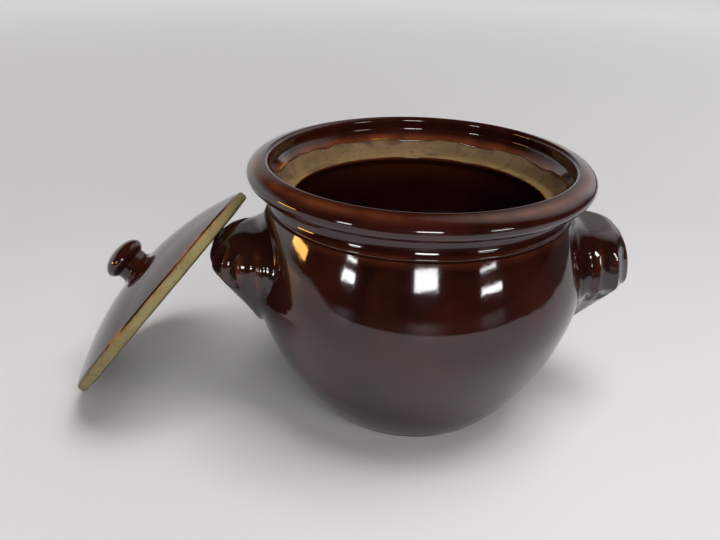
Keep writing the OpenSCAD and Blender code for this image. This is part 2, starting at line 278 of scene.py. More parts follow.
def throw(name, section, slides, finish, place=Matrix.Identity(4), **values):
    """A thrown piece from its closed section. slides moves the section's points, by number, along
    with the wandering edge of a coat of glaze."""
    chain = bpy.data.meshes.new(name + "_section")
    ring = list(section) + [section[0]]
    chain.from_pydata([(r, 0, z) for r, z in ring], [(i, i + 1) for i in range(len(ring) - 1)], [])
    way = chain.attributes.new("slide", "FLOAT_VECTOR", "POINT")
    for i, (r, z) in slides.items():
        way.data[i].vector = (r, 0, z)
    piece = grown(name, chain, wheel, **{"Steps Around": around_the_pot, "Finish": finish, **values})
    face_out(piece)
    piece.data.transform(place)
    return piece


def painted(name, **constants):
    """A material, its tree and its shader, with the constants on the shader's own sockets."""
    material = bpy.data.materials.new(name)
    material.use_nodes = True
    tree = material.node_tree
    shader = tree.nodes["Principled BSDF"]
    for socket, value in constants.items():
        shader.inputs[socket.replace("_", " ")].default_value = value
    return material, tree, shader


def ramp(tree, value, *stops):
    """A colour ramp over a value, from pairs of place and colour."""
    made = node(tree, "ShaderNodeValToRGB", {0: value})
    while len(made.color_ramp.elements) < len(stops):
        made.color_ramp.elements.new(0.5)
    for element, (place, colour) in zip(made.color_ramp.elements, stops):
        element.position = place
        element.color = (*colour, 1) if isinstance(colour, tuple) else (colour, colour, colour, 1)
    return made.outputs[0]


def speckle(tree, place, scale, detail=3.0, **sockets):
    """A noise over the piece's own place, from 0 to 1."""
    return node(tree, "ShaderNodeTexNoise", {"Vector": place, "Scale": scale, "Detail": detail,
                                             **sockets}).outputs[0]


def mixed(tree, share, first, second, blend="MIX"):
    """Two colours, mixed by a share of the second."""
    made = node(tree, "ShaderNodeMix", data_type="RGBA", blend_type=blend)
    for key, value in ((0, share), (6, first), (7, second)):
        if isinstance(value, bpy.types.NodeSocket):
            tree.links.new(value, made.inputs[key])
        else:
            made.inputs[key].default_value = (*value, 1) if isinstance(value, tuple) else value
    return made.outputs[2]


def own_place(tree):
    """The place on a thrown piece before it was set down, in its own frame."""
    return node(tree, "ShaderNodeAttribute", attribute_name="own_place").outputs["Vector"]


def bare_clay(name, pale, deep, iron, colour_marks):
    """Unglazed stoneware: matt, sandy, with turned rings and iron specks. colour_marks gives each
    mark's share at each place, and its colour."""
    material, tree, shader = painted(name, Roughness=0.82, IOR=1.45)
    place = own_place(tree)
    level = node(tree, "ShaderNodeMapping", {"Vector": place, "Scale": (8, 8, 900)}).outputs[0]
    turned = speckle(tree, level, 1.0, 2.0)
    cloud = speckle(tree, place, 55.0, 4.0)
    sand = speckle(tree, place, 1400.0, 2.0)
    base = mixed(tree, ramp(tree, cloud, (0.35, 0.0), (0.68, 1.0)), pale, deep)
    base = mixed(tree, ramp(tree, turned, (0.45, 0.0), (0.75, 0.35)), base, deep)
    specks = ramp(tree, speckle(tree, place, 420.0, 1.0), (0.66, 0.0), (0.72, 0.8))
    base = mixed(tree, specks, base, iron)
    for share, colour in colour_marks(tree, place):
        base = mixed(tree, share, base, colour)
    tree.links.new(base, shader.inputs["Base Color"])
    grain = sum_of(tree, "ADD", sand, sum_of(tree, "MULTIPLY", turned, 0.8))
    bump = node(tree, "ShaderNodeBump", {"Strength": 0.5, "Distance": 0.0003, "Height": grain})
    tree.links.new(bump.outputs[0], shader.inputs["Normal"])
    return material


def bell(tree, value, middle, width):
    """1 where a value is at its middle, falling to 0 a width away."""
    off = sum_of(tree, "ABSOLUTE", sum_of(tree, "SUBTRACT", value, middle))
    near = sum_of(tree, "SUBTRACT", 1.0, sum_of(tree, "DIVIDE", off, width))
    return sum_of(tree, "MAXIMUM", near, 0.0)


def reach_and_height(tree, place):
    """How far a place lies from the piece's axis, and how high."""
    x, y, z = node(tree, "ShaderNodeSeparateXYZ", {0: place}).outputs
    return sum_of(tree, "SQRT", sum_of(tree, "ADD", sum_of(tree, "MULTIPLY", x, x),
                                       sum_of(tree, "MULTIPLY", y, y))), z


def clay_marks_and_dark_foot(tree, place):
    """Yellow clay by the throat, brown stains under the glaze, and darker clay at the foot."""
    reach, height = reach_and_height(tree, place)
    by_throat = ramp(tree, reach, (76.5 * mm, 1.0), (79.5 * mm, 0.0))
    stains = ramp(tree, speckle(tree, place, 75.0, 5.0, Distortion=0.6), (0.5, 0.0), (0.66, 0.75))
    under_the_glaze = bell(tree, height, seat_height + bare_band - 1.5 * mm, 3.5 * mm)
    rim_line = sum_of(tree, "MULTIPLY", sum_of(tree, "MULTIPLY", under_the_glaze, 0.8), stains)
    foot = ramp(tree, height, (4.5 * mm, 0.94), (6.5 * mm, 0.0))
    return ((by_throat, (0.17, 0.115, 0.04)), (stains, (0.07, 0.038, 0.02)),
            (rim_line, (0.06, 0.03, 0.015)), (foot, (0.055, 0.036, 0.028)))


pot_clay = bare_clay("pot_clay", (0.15, 0.092, 0.045), (0.095, 0.056, 0.029),
                     (0.03, 0.015, 0.008), clay_marks_and_dark_foot)
throat = (throat_radius + throat_round, seat_height - throat_round)
gallery = ([bank(0, bank_top(0))]
           + between(bank(0, bank_top(0)), bank(0, seat_height + 1.5 * mm), 10)
           + bow(cove, cove_round, cove_round, -bank_slope, -90, 0.4 * mm)
           + bow(throat, throat_round, throat_round, 90, throat_under, 0.3 * mm))
pot_marks = {"Ring Spacing": 9 * mm, "Ring Depth": 0.07 * mm, "Out of Round": 0.5 * mm,
             "Sway": 0.003, "Seed": 4.0}
flat_foot = [(foot_radius * k / 12, 0) for k in range(12)]
section = (flat_foot + side(glaze, side_angle(0, glaze)) + neck_and_rim(glaze) + gallery
           + inside(wall, floor_thickness, floor_curve)[::-1])
pot_piece = throw("pot_clay_body", section, {}, pot_clay, **pot_marks)
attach(pot_piece, "pot")
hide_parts("pot_body")

# ---- Glaze on the pot --------------------------------------------------------------------------
# Treacle glaze, half a millimetre of dark brown glass: poured inside up to the throat, and dipped
# outside from above the foot, over the rim, to a wavy edge on the gallery. Thin places go orange.

thick_treacle, treacle_brown = (0.0095, 0.002, 0.0017), (0.031, 0.0058, 0.0038)
thin_treacle, bare_treacle = (0.10, 0.025, 0.009), (0.28, 0.12, 0.035)
line_heights, line_width, line_depth = (88.6 * mm, 87.2 * mm, 78.4 * mm), 0.5 * mm, 0.1 * mm


def treacle(name, thin=None, depth=1.0, brown=treacle_brown):
    """Treacle glaze: thick and thin clouds, runs, dark lines where it filled the clay's rings,
    pits and a soft orange-peel surface. thin gives the share of thin glaze at each place, and
    for the inner coat also a band of painted light on the upper inside wall."""
    material, tree, shader = painted(name, IOR=1.62)
    place = own_place(tree)
    cloud = speckle(tree, place, 22.0, 3.0, Roughness=0.6)
    drawn_down = node(tree, "ShaderNodeMapping", {"Vector": place, "Scale": (90, 90, 12)}).outputs[0]
    runs = speckle(tree, drawn_down, 1.0, 2.0)
    body = mixed(tree, ramp(tree, cloud, (0.3, 0.0), (0.72, 1.0)), thick_treacle, brown)
    body = mixed(tree, ramp(tree, runs, (0.5, 0.0), (0.85, 0.10)), body, thin_treacle)
    height = reach_and_height(tree, place)[1]
    fade = ramp(tree, speckle(tree, place, 14.0, 1.0), (0.45, 0.0), (0.6, 0.75))
    for line in line_heights:
        body = mixed(tree, sum_of(tree, "MULTIPLY", bell(tree, height, line, 1.6 * line_width), fade),
                     body, (0.006, 0.002, 0.002))
    if thin is not None:
        share = thin(tree, place)
        body = mixed(tree, ramp(tree, share, (0.0, 0.0), (0.6, 1.0)), body, thin_treacle)
        body = mixed(tree, ramp(tree, share, (0.75, 0.0), (1.0, 1.0)), body, bare_treacle)
    pits = node(tree, "ShaderNodeTexVoronoi", {"Vector": place, "Scale": 95.0}).outputs["Distance"]
    pit = ramp(tree, pits, (0.03, 1.0), (0.07, 0.0))
    chosen = ramp(tree, speckle(tree, place, 31.0, 1.0), (0.6, 0.0), (0.64, 1.0))
    pit = sum_of(tree, "MULTIPLY", pit, chosen)
    body = mixed(tree, pit, body, (0.004, 0.003, 0.002))
    tree.links.new(body, shader.inputs["Base Color"])
    smear = speckle(tree, place, 130.0, 4.0)
    gloss = node(tree, "ShaderNodeMapRange", {"Value": smear, "To Min": 0.03, "To Max": 0.11})
    tree.links.new(gloss.outputs[0], shader.inputs["Roughness"])
    peel = sum_of(tree, "ADD", speckle(tree, place, 70.0, 2.0),
                  sum_of(tree, "MULTIPLY", speckle(tree, place, 420.0, 2.0), 0.12))
    peel = sum_of(tree, "SUBTRACT", peel, sum_of(tree, "MULTIPLY", pit, 0.7))
    bump = node(tree, "ShaderNodeBump", {"Strength": 0.14 * depth, "Distance": 0.0006, "Height": peel})
    tree.links.new(bump.outputs[0], shader.inputs["Normal"])
    return material


def thin_on_the_rim(tree, place):
    """Glaze runs off the lip, the bead and the shoulder's edge, and thins out at the coat's end."""
    reach, z = reach_and_height(tree, place)
    high = bell(tree, z, pot_height - 1.2 * mm, 3.2 * mm)
    roll_top = bell(tree, reach, gallery_radius + 7.5 * mm, 5.5 * mm)
    lip = sum_of(tree, "MULTIPLY", sum_of(tree, "MULTIPLY", high, roll_top), 0.6)
    bead = sum_of(tree, "MULTIPLY", bell(tree, z, collar_height + 1.9 * mm, 1.2 * mm), 0.25)
    shoulder = sum_of(tree, "MULTIPLY", bell(tree, z, collar_height - 0.6 * mm, 3.5 * mm), 0.3)
    end = sum_of(tree, "MULTIPLY", bell(tree, z, seat_height + bare_band, 4 * mm),
                 sum_of(tree, "LESS_THAN", reach, gallery_radius + 0.3 * mm))
    patches = ramp(tree, speckle(tree, place, 48.0, 3.0), (0.35, 0.25), (0.65, 1.0))
    return sum_of(tree, "MULTIPLY", patches, sum_of(tree, "MAXIMUM", sum_of(
        tree, "MAXIMUM", lip, bead), sum_of(tree, "MAXIMUM", shoulder, end)))


brown_glaze = treacle("brown_glaze", thin_on_the_rim)


def thin_glaze_and_painted_light_at_throat(tree, place):
    """The inner coat runs thin and orange where it ends on the throat. A broad band of painted
    light lightens the inner wall for some way down from the throat.
    """
    height = reach_and_height(tree, place)[1]
    patches = ramp(tree, speckle(tree, place, 90.0, 3.0), (0.35, 0.35), (0.6, 1.0))
    # painted light: the inner wall is lightened, as if lit from above, down to 26 mm below the throat
    painted_inner_light = sum_of(tree, "MULTIPLY", bell(tree, height, seat_height, 26 * mm), 0.3)
    return sum_of(tree, "MAXIMUM", painted_inner_light,
                  sum_of(tree, "MULTIPLY", patches, bell(tree, height, seat_height, 1.6 * mm)))


dark_glaze = treacle("dark_glaze", thin_glaze_and_painted_light_at_throat, depth=0.8)


def turned_lines(points):
    """The side of the coat with fine sunk lines, where it settled in the rings of the clay."""
    return [(r - line_depth * max(0, *(1 - abs(z - line) / line_width for line in line_heights)), z)
            for r, z in points]


glaze_end = seat_height + bare_band
outer_face = turned_lines(side(0, side_angle(foot_band, 0), 0.7 * mm)) + neck_and_rim(0)
outer_back = neck_and_rim(glaze)[::-1] + side(glaze, side_angle(foot_band, glaze), 3 * mm)[::-1]
coat_corner, coat_end = bank(glaze, bank_top(glaze)), bank(glaze, glaze_end)
back_corner, back_end = bank(0, bank_top(0)), bank(0, glaze_end - glaze)
down_face = between(outer_face[-1], coat_corner, 5) + [coat_corner]
down_face += between(coat_corner, coat_end, 6) + [coat_end]
end_bead = [bank(glaze * 0.72, glaze_end - 0.7 * glaze), bank(glaze * 0.3, glaze_end - glaze)]
up_back = [back_end] + between(back_end, back_corner, 5) + [back_corner]
coat = outer_face + down_face + end_bead + up_back + outer_back
slides = {}
for i in range(len(outer_face), len(coat) - len(outer_back)):
    share = min(1, max(0, (bank_top(0) - coat[i][1]) / (bank_top(0) - glaze_end)))
    slides[i] = (share * tan(radians(bank_slope)), share)
low_edge, low_wander, low_lean = 4 * mm, 0.25, 0.75
end_rows = 8
for i, (r, z) in enumerate(coat):
    if z < foot_band + low_edge:
        share = low_wander * (1 - (z - foot_band) / low_edge)
        slides[i] = (share * low_lean, share)
outer_piece = throw("glaze_outside", coat, slides, brown_glaze,
                    **{**pot_marks, "Edge Wander": 9 * mm})
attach(outer_piece, "pot")
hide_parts("outer_glaze")


def raised(points, t):
    """A line of points moved t to its left, square to the way it runs."""
    line = np.array(points)
    way = np.gradient(line, axis=0)
    way /= np.maximum(np.linalg.norm(way, axis=1, keepdims=True), 1e-9)
    return [tuple(p) for p in line + t * np.stack([-way[:, 1], way[:, 0]], -1)]


clay_inside = inside(wall, floor_thickness, floor_curve)
clay_inside += between(clay_inside[-1], along(throat, throat_round, throat_under), 9)
clay_inside += bow(throat, throat_round, throat_round, throat_under, 150, 0.25 * mm)
coat_inside = [(max(r, 0), z) for r, z in raised(clay_inside, glaze)]
slides = {}
for i in range(end_rows):
    share = 1 - i / end_rows
    for k in (len(clay_inside) - 1 - i, len(clay_inside) + i):
        slides[k] = (0.12 * share, 0.75 * share)
inner_piece = throw("glaze_inside", clay_inside + coat_inside[::-1], slides, dark_glaze,
                    **{**pot_marks, "Edge Wander": 1.2 * mm})
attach(inner_piece, "pot")
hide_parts("inner_glaze")

# ---- Handles -----------------------------------------------------------------------------------
# Two solid lugs, each pressed onto the shoulder and smoothed in with a thumb, then fluted down
# the face with a fingertip. The glaze pools in the flutes and runs thin on the ridges.

handle_width, handle_end = 64 * mm, 28 * mm
handle_spread = handle_width / 2 - handle_end
flute_depth = 2.2 * mm
smear_round = 7 * mm
root_sink = 2 * mm
root_above, root_aside, root_below, root_share = 7 * mm, 9 * mm, 1 * mm, 0.14
eye_inset, eye_drop, sight, look_step = 8 * mm, 6 * mm, 75 * mm, 0.9
flute_lead, flute_top, flute_bottom, flute_run = 1 * mm, 1.5 * mm, 12 * mm, 4 * mm
rays_around, rays_out, looks = 240, 110, 60
handles = {
    "left": {"reach": belly_radius + 23.6 * mm, "turn": 180 + 17, "middle": belly_height + 13 * mm,
             "rise": 18 * mm, "shoulder": 22 * mm, "slope": 37, "round": 10 * mm,
             "pitch": 11.5 * mm, "start": 0.2},
    "right": {"reach": belly_radius + 29 * mm, "turn": 6, "middle": belly_height,
              "rise": 30 * mm, "shoulder": 15 * mm, "slope": 42, "round": 6 * mm,
              "pitch": 14 * mm, "start": 0.1},
}


def beyond(r, z, section):
    """How far points in the r-z plane lie outside a closed section, or, below zero, inside it."""
    corners = np.array(section)
    ends = np.roll(corners, -1, axis=0)
    edges = ends - corners
    far = np.full(r.shape, 1e9)
    within = np.zeros(r.shape, bool)
    for (cr, cz), (er, ez) in zip(corners, edges):
        length = er * er + ez * ez
        if length < 1e-14:
            continue
        t = np.clip(((r - cr) * er + (z - cz) * ez) / length, 0, 1)
        far = np.minimum(far, np.hypot(r - cr - t * er, z - cz - t * ez))
        crosses = ((cz > z) != (cz + ez > z))
        with np.errstate(divide="ignore", invalid="ignore"):
            within ^= crosses & (r < cr + (z - cz) * er / (ez if ez else 1e-12))
    return np.where(within, -far, far)


pot_outline = ([(0, 0)]
               + bow(side_middle, side_curve, side_curve, side_angle(0, 0), -side_slope, 6 * mm)
               + bow(belly_middle, belly_curve, belly_curve, -side_slope, 0, 6 * mm)[1:]
               + bow(shoulder_middle, shoulder_curve, shoulder_curve, 0, crown_start, 4 * mm)[1:]
               + bow(crown_middle, crown_curve, crown_curve, crown_start, crown_end, 4 * mm)[1:]
               + [(0, collar_height + 20 * mm)])


def ease(share):
    """A share from 0 to 1 that starts and stops softly."""
    return share * share * (3 - 2 * share)


def smooth_lug(name, lug):
    """A lug and the smear round its root, found by looking in from outside along rays that fan
    out from a point just under the pot's skin."""
    middle, rise, shoulder, slope = lug["middle"], lug["rise"], lug["shoulder"], lug["slope"]
    chin = bow((handle_end - lug["round"], middle), lug["round"], lug["round"], -slope, 0)
    tip = chin[0][1] - chin[0][0] / tan(radians(slope))
    section = ([(0, tip)] + chin
               + bow((handle_end - shoulder, middle), shoulder, rise, 0, 90)[1:]
               + [(0, middle + rise), (-1 * mm, middle + rise), (-1 * mm, tip)])
    lug_axis = lug["reach"] - handle_end

    def lug_and_pot(points):
        x, y, z = points[..., 0], points[..., 1], points[..., 2]
        out = np.hypot(x - lug_axis, np.maximum(np.abs(y) - handle_spread, 0))
        to_lug = beyond(out, z, section)
        to_pot = beyond(np.hypot(x, y), z, pot_outline)
        soft = np.maximum(smear_round - np.abs(to_lug - to_pot), 0) / smear_round
        return np.minimum(to_lug, to_pot) - soft * soft * smear_round / 4, to_pot

    eye = np.array([lug_axis - eye_inset, 0, middle - eye_drop])
    lap = np.linspace(0, 2 * pi, rays_around, endpoint=False)
    height = np.where(np.sin(lap) > 0, middle + rise + root_above - eye[2],
                      eye[2] - tip - root_below)
    border_z = np.minimum(eye[2] + height * np.sin(lap), collar_height - 2.5 * mm)
    half = (handle_width / 2 + root_aside) * np.cos(lap)
    outline = np.array(pot_outline[1:-1])
    border_r = np.interp(border_z, outline[:, 1], outline[:, 0])
    angle = half / border_r
    border = np.stack([border_r * np.cos(angle), border_r * np.sin(angle), border_z], -1) - eye
    far = np.linalg.norm(border, axis=-1)
    border /= far[:, None]
    share = np.linspace(0, 1, rays_out + 1)[1:]
    fan = (1 - share)[None, :, None] * np.array([1.0, 0, 0]) + share[None, :, None] * border[:, None, :]
    fan /= np.linalg.norm(fan, axis=-1, keepdims=True)
    far_out = np.full(fan.shape[:2], sight)
    for look in range(looks):
        gap = lug_and_pot(eye + far_out[..., None] * fan)[0]
        far_out = np.where(gap > 0, far_out - np.maximum(gap, 0) * look_step, far_out)
    points = eye + far_out[..., None] * fan
    nose = eye + np.array([far_out[:, 0].mean(), 0, 0])
    from_pot = lug_and_pot(points)[1]
    root = np.clip((share - 1 + root_share) / root_share, 0, 1)[None, :]
    points = points - fan * (root * root * root_sink)[..., None]
    aside = points[..., 1] - np.clip(points[..., 1], -handle_spread, handle_spread)
    on_face = np.arctan2(aside, np.maximum(points[..., 0] - lug_axis, 1e-6)) * handle_end
    face = on_face + np.clip(points[..., 1], -handle_spread, handle_spread)
    standing = np.clip((from_pot - flute_lead) / (6 * mm), 0, 1)
    above = np.clip((middle + rise - flute_top - points[..., 2]) / (0.5 * rise), 0, 1)
    below = np.clip((points[..., 2] - (middle - flute_bottom)) / flute_run, 0, 1)
    shell = bmesh.new()
    grid = [[shell.verts.new(p) for p in row] for row in points]
    peak = shell.verts.new(nose)
    back = shell.verts.new(eye + np.array([1.0 * mm, 0, 0]))
    for i in range(rays_around):
        j = (i + 1) % rays_around
        shell.faces.new((peak, grid[i][0], grid[j][0]))
        shell.faces.new((back, grid[j][-1], grid[i][-1]))
        for k in range(rays_out - 1):
            shell.faces.new((grid[i][k], grid[i][k + 1], grid[j][k + 1], grid[j][k]))
    mesh = bpy.data.meshes.new(name)
    shell.to_mesh(mesh)
    shell.free()
    depth = ease(standing) * ease(above) * ease(below)
    for title, values, last in (("across_face", face, [0, 0]), ("depth_share", depth, [1, 0])):
        mesh.attributes.new(title, "FLOAT", "POINT").data.foreach_set(
            "value", np.append(values.ravel(), last).astype(np.float32))
    return mesh, lug_axis


def flute_tree():
    """Presses upright flutes into a lug's face, and keeps how thin the glaze runs on each ridge."""
    tree = bpy.data.node_groups.new("flutes", "GeometryNodeTree")
    for name, kind in (("Lug", "Geometry"), ("Pitch", "Float"), ("Depth", "Float"), ("Start", "Float"),
                       ("Lug Axis", "Float"), ("Spread", "Float"), ("Seed", "Float"),
                       ("Finish", "Material")):
        tree.interface.new_socket(name=name, in_out="INPUT", socket_type="NodeSocket" + kind)
    tree.interface.new_socket(name="Fluted", in_out="OUTPUT", socket_type="NodeSocketGeometry")
    given = tree.nodes.new("NodeGroupInput").outputs

    def kept(name):
        return node(tree, "GeometryNodeInputNamedAttribute", {"Name": name}, data_type="FLOAT").outputs[0]

    place = node(tree, "GeometryNodeInputPosition").outputs[0]
    x, y = node(tree, "ShaderNodeSeparateXYZ", {0: place}).outputs[:2]
    sway = node(tree, "ShaderNodeTexNoise", {"Vector": place, "W": given["Seed"], "Scale": 28.0,
                                             "Detail": 1.0}, noise_dimensions="4D").outputs[0]
    shift = sum_of(tree, "MULTIPLY", sum_of(tree, "SUBTRACT", sway, 0.5), 0.35)
    count = sum_of(tree, "ADD", sum_of(tree, "ADD", sum_of(
        tree, "DIVIDE", kept("across_face"), given["Pitch"]), given["Start"]), shift)
    wave = sum_of(tree, "ABSOLUTE", sum_of(tree, "SINE", sum_of(tree, "MULTIPLY", count, pi)))
    hollow = sum_of(tree, "POWER", wave, 0.8)
    depth = sum_of(tree, "MULTIPLY", hollow, given["Depth"])
    depth = sum_of(tree, "MULTIPLY", depth, kept("depth_share"))
    flat = sum_of(tree, "MAXIMUM", sum_of(tree, "MINIMUM", y, given["Spread"]),
                  sum_of(tree, "MULTIPLY", given["Spread"], -1.0))
    out = node(tree, "ShaderNodeCombineXYZ", {0: sum_of(tree, "SUBTRACT", x, given["Lug Axis"]),
                                              1: sum_of(tree, "SUBTRACT", y, flat)})
    way = node(tree, "ShaderNodeVectorMath", {0: out.outputs[0]}, operation="NORMALIZE").outputs[0]
    push = node(tree, "ShaderNodeVectorMath", {0: way, "Scale": sum_of(tree, "MULTIPLY", depth, -1.0)},
                operation="SCALE").outputs[0]
    ridge = sum_of(tree, "MULTIPLY", sum_of(tree, "POWER", sum_of(tree, "SUBTRACT", 1.0, wave), 1.6),
                   kept("depth_share"))
    shape = node(tree, "GeometryNodeStoreNamedAttribute", {0: given["Lug"], "Name": "thin_glaze",
                                                           "Value": ridge}, domain="POINT")
    shape = node(tree, "GeometryNodeSetPosition", {"Geometry": shape.outputs[0], "Offset": push})
    shape = node(tree, "GeometryNodeStoreNamedAttribute", {
        0: shape.outputs[0], "Name": "own_place", "Value": place}, data_type="FLOAT_VECTOR",
        domain="POINT")
    shape = node(tree, "GeometryNodeSetShadeSmooth", {0: shape.outputs[0]})
    shape = node(tree, "GeometryNodeRealizeInstances", {0: shape.outputs[0]})
    shape = node(tree, "GeometryNodeSetMaterial", {0: shape.outputs[0], "Material": given["Finish"]})
    tree.links.new(shape.outputs[0], tree.nodes.new("NodeGroupOutput").inputs[0])
    return tree


def thin_on_ridges(tree, place):
    """Thin glaze on the ridges between flutes, in patches."""
    kept = node(tree, "ShaderNodeAttribute", attribute_name="thin_glaze").outputs["Fac"]
    patches = ramp(tree, speckle(tree, place, 60.0, 3.0), (0.42, 0.0), (0.66, 0.55))
    return sum_of(tree, "MULTIPLY", kept, patches)


handle_glaze = treacle("handle_glaze", thin_on_ridges, 1.2, (0.018, 0.005, 0.0032))
flutes = flute_tree()
for which, lug in handles.items():
    mesh, lug_axis = smooth_lug(which + "_lug", lug)
    piece = grown(which + "_lug_handle", mesh, flutes, **{
        "Pitch": lug["pitch"], "Depth": flute_depth, "Start": lug["start"], "Lug Axis": lug_axis,
        "Spread": handle_spread, "Seed": lug["turn"] / 10, "Finish": handle_glaze})
    face_out(piece, 80)
    piece.data.transform(Matrix.Rotation(radians(lug["turn"]), 4, "Z"))
    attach(piece, "pot")
    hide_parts(which + "_handle")

# ---- Lid ---------------------------------------------------------------------------------------
# A thrown dome with a bare edge and a bare ring beneath that sits on the gallery. It leans on the
# left handle with its lower edge on the table, and keeps its own frame with the knob on Z.

lid_clearance, lid_edge, edge_round = 1.7 * mm, 6.4 * mm, 1.8 * mm
dome_rise, ring_width, lid_thickness = 17.5 * mm, 6 * mm, 6.5 * mm
lean_tilt, lean_turn, lean_side, lean_nest = 51.2, 3.8, 16 * mm, 0.3 * mm
lid_radius = seat_radius + cove_round - lid_clearance
ring_radius, edge_inset = lid_radius - ring_width, lid_radius - edge_round
dome_radius = (edge_inset ** 2 + dome_rise ** 2) / (2 * dome_rise)
dome_middle = (0, lid_edge + dome_rise - dome_radius)
dome_angle = degrees(acos(edge_inset / dome_radius))
hollow_rise = lid_edge + dome_rise - lid_thickness
hollow_radius = (ring_radius ** 2 + hollow_rise ** 2) / (2 * hollow_rise)
hollow_middle = (0, hollow_rise - hollow_radius)
hollow_angle = degrees(acos(ring_radius / hollow_radius))

lean_way = Vector((-cos(radians(lean_turn)), sin(radians(lean_turn))))
front_way = Vector((-sin(radians(lean_turn)), -cos(radians(lean_turn))))
left = handles["left"]
left_way = Vector((cos(radians(left["turn"])), sin(radians(left["turn"]))))
left_across = Vector((-left_way.y, left_way.x))
tilt = radians(lean_tilt)
handle_touch = (hypot(left["shoulder"] * sin(tilt), left["rise"] * cos(tilt))
                + left["middle"] * cos(tilt)
                + sin(tilt) * ((left["reach"] - handle_end) * left_way.dot(lean_way)
                               + handle_spread * abs(left_across.dot(lean_way))
                               + handle_end - left["shoulder"]))
lid_height = edge_inset * sin(tilt) + edge_round * (1 - cos(tilt))
lid_out = (handle_touch - lean_nest - lid_height * cos(tilt)) / sin(tilt)
lid_spot = lid_out * lean_way + lean_side * front_way
leaning = (Matrix.Translation((lid_spot.x, lid_spot.y, lid_height))
           @ Matrix.Rotation(radians(-lean_turn), 4, "Z") @ Matrix.Rotation(-tilt, 4, "Y"))


def edge_marks(tree, place):
    """Orange smears and dark drips of glaze along the lid's edge."""
    height = reach_and_height(tree, place)[1]
    smear = ramp(tree, speckle(tree, place, 38.0, 4.0, Distortion=0.5), (0.52, 0.0), (0.62, 0.8))
    smear = sum_of(tree, "MULTIPLY", smear, bell(tree, height, lid_edge, 3 * mm))
    drips = ramp(tree, speckle(tree, place, 110.0, 4.0, Distortion=1.0), (0.47, 0.0), (0.53, 0.95))
    drips = sum_of(tree, "MULTIPLY", drips, ramp(tree, height, (4.5 * mm, 0.0), (5.8 * mm, 1.0)))
    return (smear, (0.30, 0.16, 0.04)), (drips, (0.06, 0.014, 0.007))


lid_clay = bare_clay("lid_clay", (0.205, 0.17, 0.073), (0.15, 0.116, 0.048),
                     (0.05, 0.026, 0.012), edge_marks)
lid_marks = {"Ring Spacing": 7 * mm, "Ring Depth": 0.1 * mm, "Out of Round": 0.35 * mm, "Seed": 9.0}
lid_section = (bow(hollow_middle, hollow_radius, hollow_radius, 90, hollow_angle)
               + between((ring_radius, 0), (edge_inset, 0), 5)
               + bow((edge_inset, edge_round), edge_round, edge_round, -90, 0, 0.3 * mm)
               + between((lid_radius, edge_round), (lid_radius, lid_edge - glaze - edge_round), 4)
               + bow((edge_inset, lid_edge - glaze - edge_round), edge_round, edge_round, 0, 90,
                     0.3 * mm)
               + bow(dome_middle, dome_radius - glaze, dome_radius - glaze, dome_angle, 90)[1:])
lid_piece = throw("lid_clay_body", lid_section, {}, lid_clay, leaning, **lid_marks)
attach(lid_piece, "lid")
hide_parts("lid_body")

# ---- Glaze on the lid --------------------------------------------------------------------------
# The same treacle glaze over the dome, to a ragged edge that runs orange where it is thin, and a
# dark coat in the hollow beneath.

knob_radius, knob_height = 14.2 * mm, 14.5 * mm
neck_radius, neck_height, flare_round = 10.8 * mm, 3 * mm, 3 * mm
knob_foot = neck_radius + flare_round


def thin_at_the_edge(tree, place):
    """Glaze thins towards the lid's edge, in patches."""
    reach = reach_and_height(tree, place)[0]
    patches = ramp(tree, speckle(tree, place, 26.0, 4.0), (0.5, 0.0), (0.62, 1.0))
    return sum_of(tree, "MULTIPLY", patches, bell(tree, reach, edge_inset - 1.5 * mm, 3 * mm))


lid_glaze = treacle("lid_glaze", thin_at_the_edge, depth=0.8)
coat_top = degrees(acos((knob_foot - 1 * mm) / dome_radius))
face = bow(dome_middle, dome_radius, dome_radius, dome_angle + 0.4, coat_top)
back = bow(dome_middle, dome_radius - glaze, dome_radius - glaze, dome_angle, coat_top)
edge_bead = [along(dome_middle, dome_radius - glaze * 0.75, dome_angle + 0.12),
             along(dome_middle, dome_radius - glaze * 0.3, dome_angle + 0.22)]
slides = {}
for i in range(end_rows):
    share = 1 - i / end_rows
    for k in (i, len(face) + len(back) - 1 - i):
        slides[k] = (-share, share * 0.24)
for k in range(len(face) + len(back), len(face) + len(back) + 2):
    slides[k] = (-1, 0.24)
dome_piece = throw("glaze_on_lid", face + back[::-1] + edge_bead, slides, lid_glaze, leaning,
                   **{**lid_marks, "Edge Wander": 3.0 * mm})
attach(dome_piece, "lid")
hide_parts("lid_glaze")

under_face = bow(hollow_middle, hollow_radius, hollow_radius, hollow_angle, 90)
under_back = bow(hollow_middle, hollow_radius - glaze, hollow_radius - glaze, 90, hollow_angle)
under_piece = throw("glaze_under_lid", under_face + under_back, {}, dark_glaze, leaning, **lid_marks)
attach(under_piece, "lid")
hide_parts("lid_under_glaze")

# ---- Knob --------------------------------------------------------------------------------------
# A flattened round button, thrown off the hump and luted onto the middle of the dome with a
# little slip that flares at its neck.

dome_top = lid_edge + dome_rise
foot_height = dome_middle[1] + sqrt(dome_radius ** 2 - knob_foot ** 2)
head = (0, dome_top + neck_height + knob_height / 2)
head_start = -degrees(acos(neck_radius / knob_radius))
knob_sink = glaze + 1 * mm
knob_section = ([(0, dome_top - knob_sink), (knob_foot, foot_height - knob_sink)]
                + bow((knob_foot, foot_height + flare_round), flare_round, flare_round, 270, 180,
                      0.3 * mm)
                + bow(head, knob_radius, knob_height / 2, head_start, 90, 0.6 * mm))
knob_piece = throw("lid_knob_button", knob_section, {}, brown_glaze, leaning,
                   **{"Steps Around": 96, "Ring Spacing": 5 * mm, "Ring Depth": 0.15 * mm,
                      "Out of Round": 0.5 * mm, "Seed": 2.0})
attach(knob_piece, "lid")
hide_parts("lid_knob")

# ---- Table, light and camera -------------------------------------------------------------------
# A white table with a pale wall behind, in a room that is dark towards the camera, with windows
# and a warm lamp there that the glaze mirrors. Two soft panels, overhead and in front, light the
# pot and show in no mirror.

